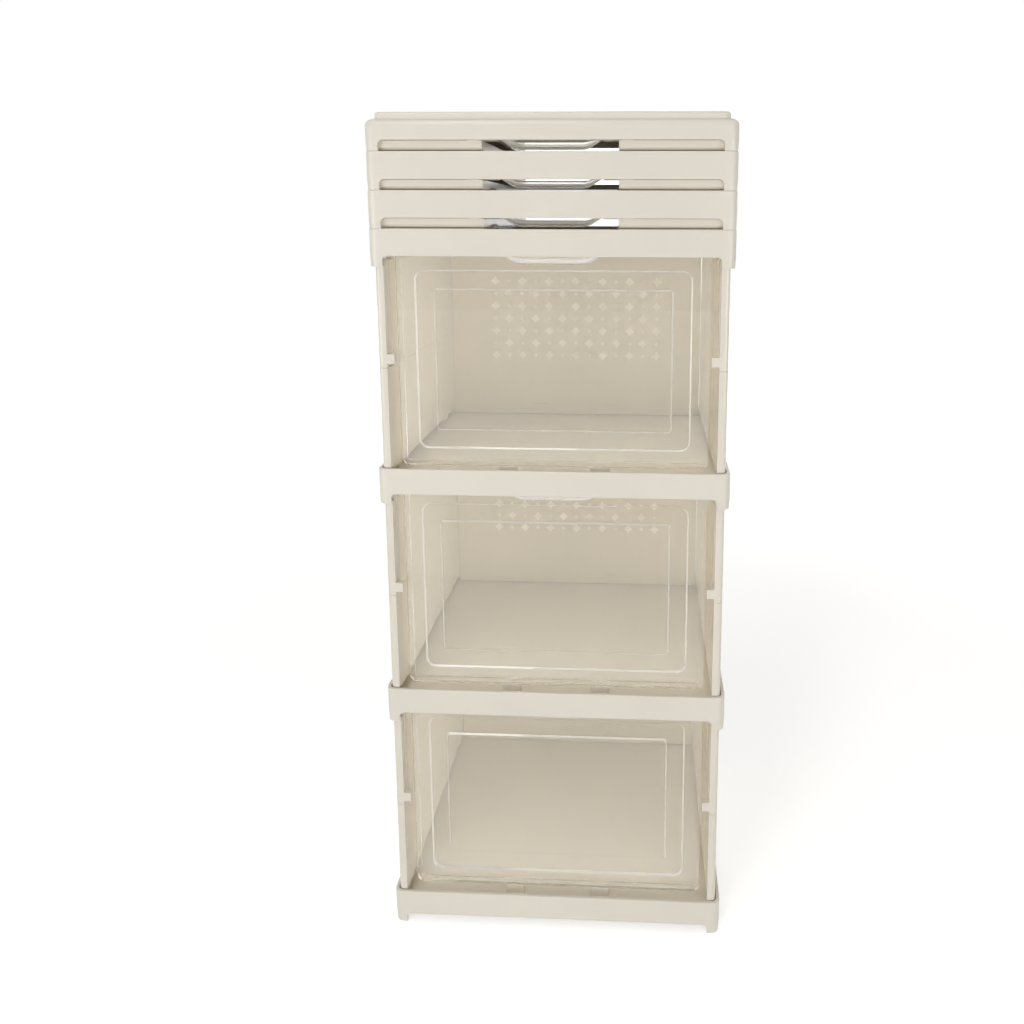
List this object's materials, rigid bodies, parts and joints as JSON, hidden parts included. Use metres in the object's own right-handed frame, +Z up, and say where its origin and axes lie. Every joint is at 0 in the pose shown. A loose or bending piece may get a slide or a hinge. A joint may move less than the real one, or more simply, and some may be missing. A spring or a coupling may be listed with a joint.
{
  "type": "folding stackable shoe cabinet",
  "caption": "Tall one-piece folding shoe cabinet: white frames on fold-in side walls, clear flip doors with a finger pull, vented backs; lower tiers open, upper ones folded flat.",
  "frame": {"origin": "on the floor, under the middle of the cabinet's plan", "axes": "+Z up, the doors face -Y, +X is to the right for a person who looks at the doors"},
  "size_m": [0.36, 0.29, 0.8775],
  "materials": {
    "frame_white": "satin moulded",
    "wall_white": "glossy moulded",
    "door_clear": "clear polished",
    "back_panel": "glossy moulded"
  },
  "bodies": {
    "stand": {"base_frame": "frame_white", "shelf_frame_1": "frame_white", "shelf_frame_2": "frame_white", "shelf_frame_3": "frame_white", "side_left_lower_1": "wall_white", "side_left_upper_1": "wall_white", "side_right_lower_1": "wall_white", "side_right_upper_1": "wall_white", "side_left_lower_2": "wall_white", "side_left_upper_2": "wall_white", "side_right_lower_2": "wall_white", "side_right_upper_2": "wall_white", "side_left_lower_3": "wall_white", "side_left_upper_3": "wall_white", "side_right_lower_3": "wall_white", "side_right_upper_3": "wall_white"},
    "door_1": {"door_1": "door_clear"},
    "back_1": {"back_1": "back_panel"},
    "door_2": {"door_2": "door_clear"},
    "back_2": {"back_2": "back_panel"},
    "door_3": {"door_3": "door_clear"},
    "back_3": {"back_3": "back_panel"},
    "side_left_lower_4": {"side_left_lower_4": "wall_white"},
    "side_left_upper_4": {"side_left_upper_4": "wall_white"},
    "side_right_lower_4": {"side_right_lower_4": "wall_white"},
    "side_right_upper_4": {"side_right_upper_4": "wall_white"},
    "tray_4": {"shelf_frame_4": "frame_white", "door_4": "door_clear", "back_4": "back_panel"},
    "side_left_lower_5": {"side_left_lower_5": "wall_white"},
    "side_left_upper_5": {"side_left_upper_5": "wall_white"},
    "side_right_lower_5": {"side_right_lower_5": "wall_white"},
    "side_right_upper_5": {"side_right_upper_5": "wall_white"},
    "tray_5": {"shelf_frame_5": "frame_white", "door_5": "door_clear", "back_5": "back_panel"},
    "side_left_lower_6": {"side_left_lower_6": "wall_white"},
    "side_left_upper_6": {"side_left_upper_6": "wall_white"},
    "side_right_lower_6": {"side_right_lower_6": "wall_white"},
    "side_right_upper_6": {"side_right_upper_6": "wall_white"},
    "tray_6": {"top_lid": "frame_white", "door_6": "door_clear", "back_6": "back_panel"}
  },
  "joints": [
    {"name": "door_1_swing", "type": "hinge", "parent": "stand", "child": "door_1", "pos_m": [0, -0.131, 0.2552], "axis": [-1, 0, 0], "range_deg": [-90, 85]},
    {"name": "back_1_swing", "type": "hinge", "parent": "stand", "child": "back_1", "pos_m": [0, 0.137, 0.2622], "axis": [-1, 0, 0], "range_deg": [0, 90]},
    {"name": "door_2_swing", "type": "hinge", "parent": "stand", "child": "door_2", "pos_m": [0, -0.131, 0.4982], "axis": [-1, 0, 0], "range_deg": [-90, 85]},
    {"name": "back_2_swing", "type": "hinge", "parent": "stand", "child": "back_2", "pos_m": [0, 0.137, 0.5052], "axis": [-1, 0, 0], "range_deg": [0, 90]},
    {"name": "door_3_swing", "type": "hinge", "parent": "stand", "child": "door_3", "pos_m": [0, -0.131, 0.7412], "axis": [-1, 0, 0], "range_deg": [-90, 85]},
    {"name": "back_3_swing", "type": "hinge", "parent": "stand", "child": "back_3", "pos_m": [0, 0.137, 0.7482], "axis": [-1, 0, 0], "range_deg": [0, 90]},
    {"name": "tier_4_unfold", "type": "hinge", "parent": "stand", "child": "side_left_lower_4", "pos_m": [-0.172, 0, 0.7638], "axis": [0, -1, 0], "range_deg": [0, 90]},
    {"name": "tier_4_left_middle", "type": "hinge", "parent": "side_left_lower_4", "child": "side_left_upper_4", "pos_m": [-0.0658, 0, 0.767], "axis": [0, -1, 0], "range_deg": [-180, 0]},
    {"name": "tier_4_left_top", "type": "hinge", "parent": "side_left_upper_4", "child": "tray_4", "pos_m": [-0.172, 0, 0.7702], "axis": [0, -1, 0], "range_deg": [0, 90]},
    {"name": "tier_4_right_bottom", "type": "hinge", "parent": "stand", "child": "side_right_lower_4", "pos_m": [0.172, 0, 0.7638], "axis": [0, -1, 0], "range_deg": [-90, 0]},
    {"name": "tier_4_right_middle", "type": "hinge", "parent": "side_right_lower_4", "child": "side_right_upper_4", "pos_m": [0.0658, 0, 0.767], "axis": [0, -1, 0], "range_deg": [0, 180]},
    {"name": "tier_5_unfold", "type": "hinge", "parent": "tray_4", "child": "side_left_lower_5", "pos_m": [-0.172, 0, 0.8008], "axis": [0, -1, 0], "range_deg": [0, 90]},
    {"name": "tier_5_left_middle", "type": "hinge", "parent": "side_left_lower_5", "child": "side_left_upper_5", "pos_m": [-0.0658, 0, 0.804], "axis": [0, -1, 0], "range_deg": [-180, 0]},
    {"name": "tier_5_left_top", "type": "hinge", "parent": "side_left_upper_5", "child": "tray_5", "pos_m": [-0.172, 0, 0.8072], "axis": [0, -1, 0], "range_deg": [0, 90]},
    {"name": "tier_5_right_bottom", "type": "hinge", "parent": "tray_4", "child": "side_right_lower_5", "pos_m": [0.172, 0, 0.8008], "axis": [0, -1, 0], "range_deg": [-90, 0]},
    {"name": "tier_5_right_middle", "type": "hinge", "parent": "side_right_lower_5", "child": "side_right_upper_5", "pos_m": [0.0658, 0, 0.804], "axis": [0, -1, 0], "range_deg": [0, 180]},
    {"name": "tier_6_unfold", "type": "hinge", "parent": "tray_5", "child": "side_left_lower_6", "pos_m": [-0.172, 0, 0.8378], "axis": [0, -1, 0], "range_deg": [0, 90]},
    {"name": "tier_6_left_middle", "type": "hinge", "parent": "side_left_lower_6", "child": "side_left_upper_6", "pos_m": [-0.0658, 0, 0.841], "axis": [0, -1, 0], "range_deg": [-180, 0]},
    {"name": "tier_6_left_top", "type": "hinge", "parent": "side_left_upper_6", "child": "tray_6", "pos_m": [-0.172, 0, 0.8442], "axis": [0, -1, 0], "range_deg": [0, 90]},
    {"name": "tier_6_right_bottom", "type": "hinge", "parent": "tray_5", "child": "side_right_lower_6", "pos_m": [0.172, 0, 0.8378], "axis": [0, -1, 0], "range_deg": [-90, 0]},
    {"name": "tier_6_right_middle", "type": "hinge", "parent": "side_right_lower_6", "child": "side_right_upper_6", "pos_m": [0.0658, 0, 0.841], "axis": [0, -1, 0], "range_deg": [0, 180]}
  ],
  "couplings": [
    {"joint": "tier_4_left_middle", "follows": "tier_4_unfold", "ratio": -2},
    {"joint": "tier_4_left_top", "follows": "tier_4_unfold", "ratio": 1},
    {"joint": "tier_4_right_bottom", "follows": "tier_4_unfold", "ratio": -1},
    {"joint": "tier_4_right_middle", "follows": "tier_4_unfold", "ratio": 2},
    {"joint": "tier_5_left_middle", "follows": "tier_5_unfold", "ratio": -2},
    {"joint": "tier_5_left_top", "follows": "tier_5_unfold", "ratio": 1},
    {"joint": "tier_5_right_bottom", "follows": "tier_5_unfold", "ratio": -1},
    {"joint": "tier_5_right_middle", "follows": "tier_5_unfold", "ratio": 2},
    {"joint": "tier_6_left_middle", "follows": "tier_6_unfold", "ratio": -2},
    {"joint": "tier_6_left_top", "follows": "tier_6_unfold", "ratio": 1},
    {"joint": "tier_6_right_bottom", "follows": "tier_6_unfold", "ratio": -1},
    {"joint": "tier_6_right_middle", "follows": "tier_6_unfold", "ratio": 2}
  ]
}
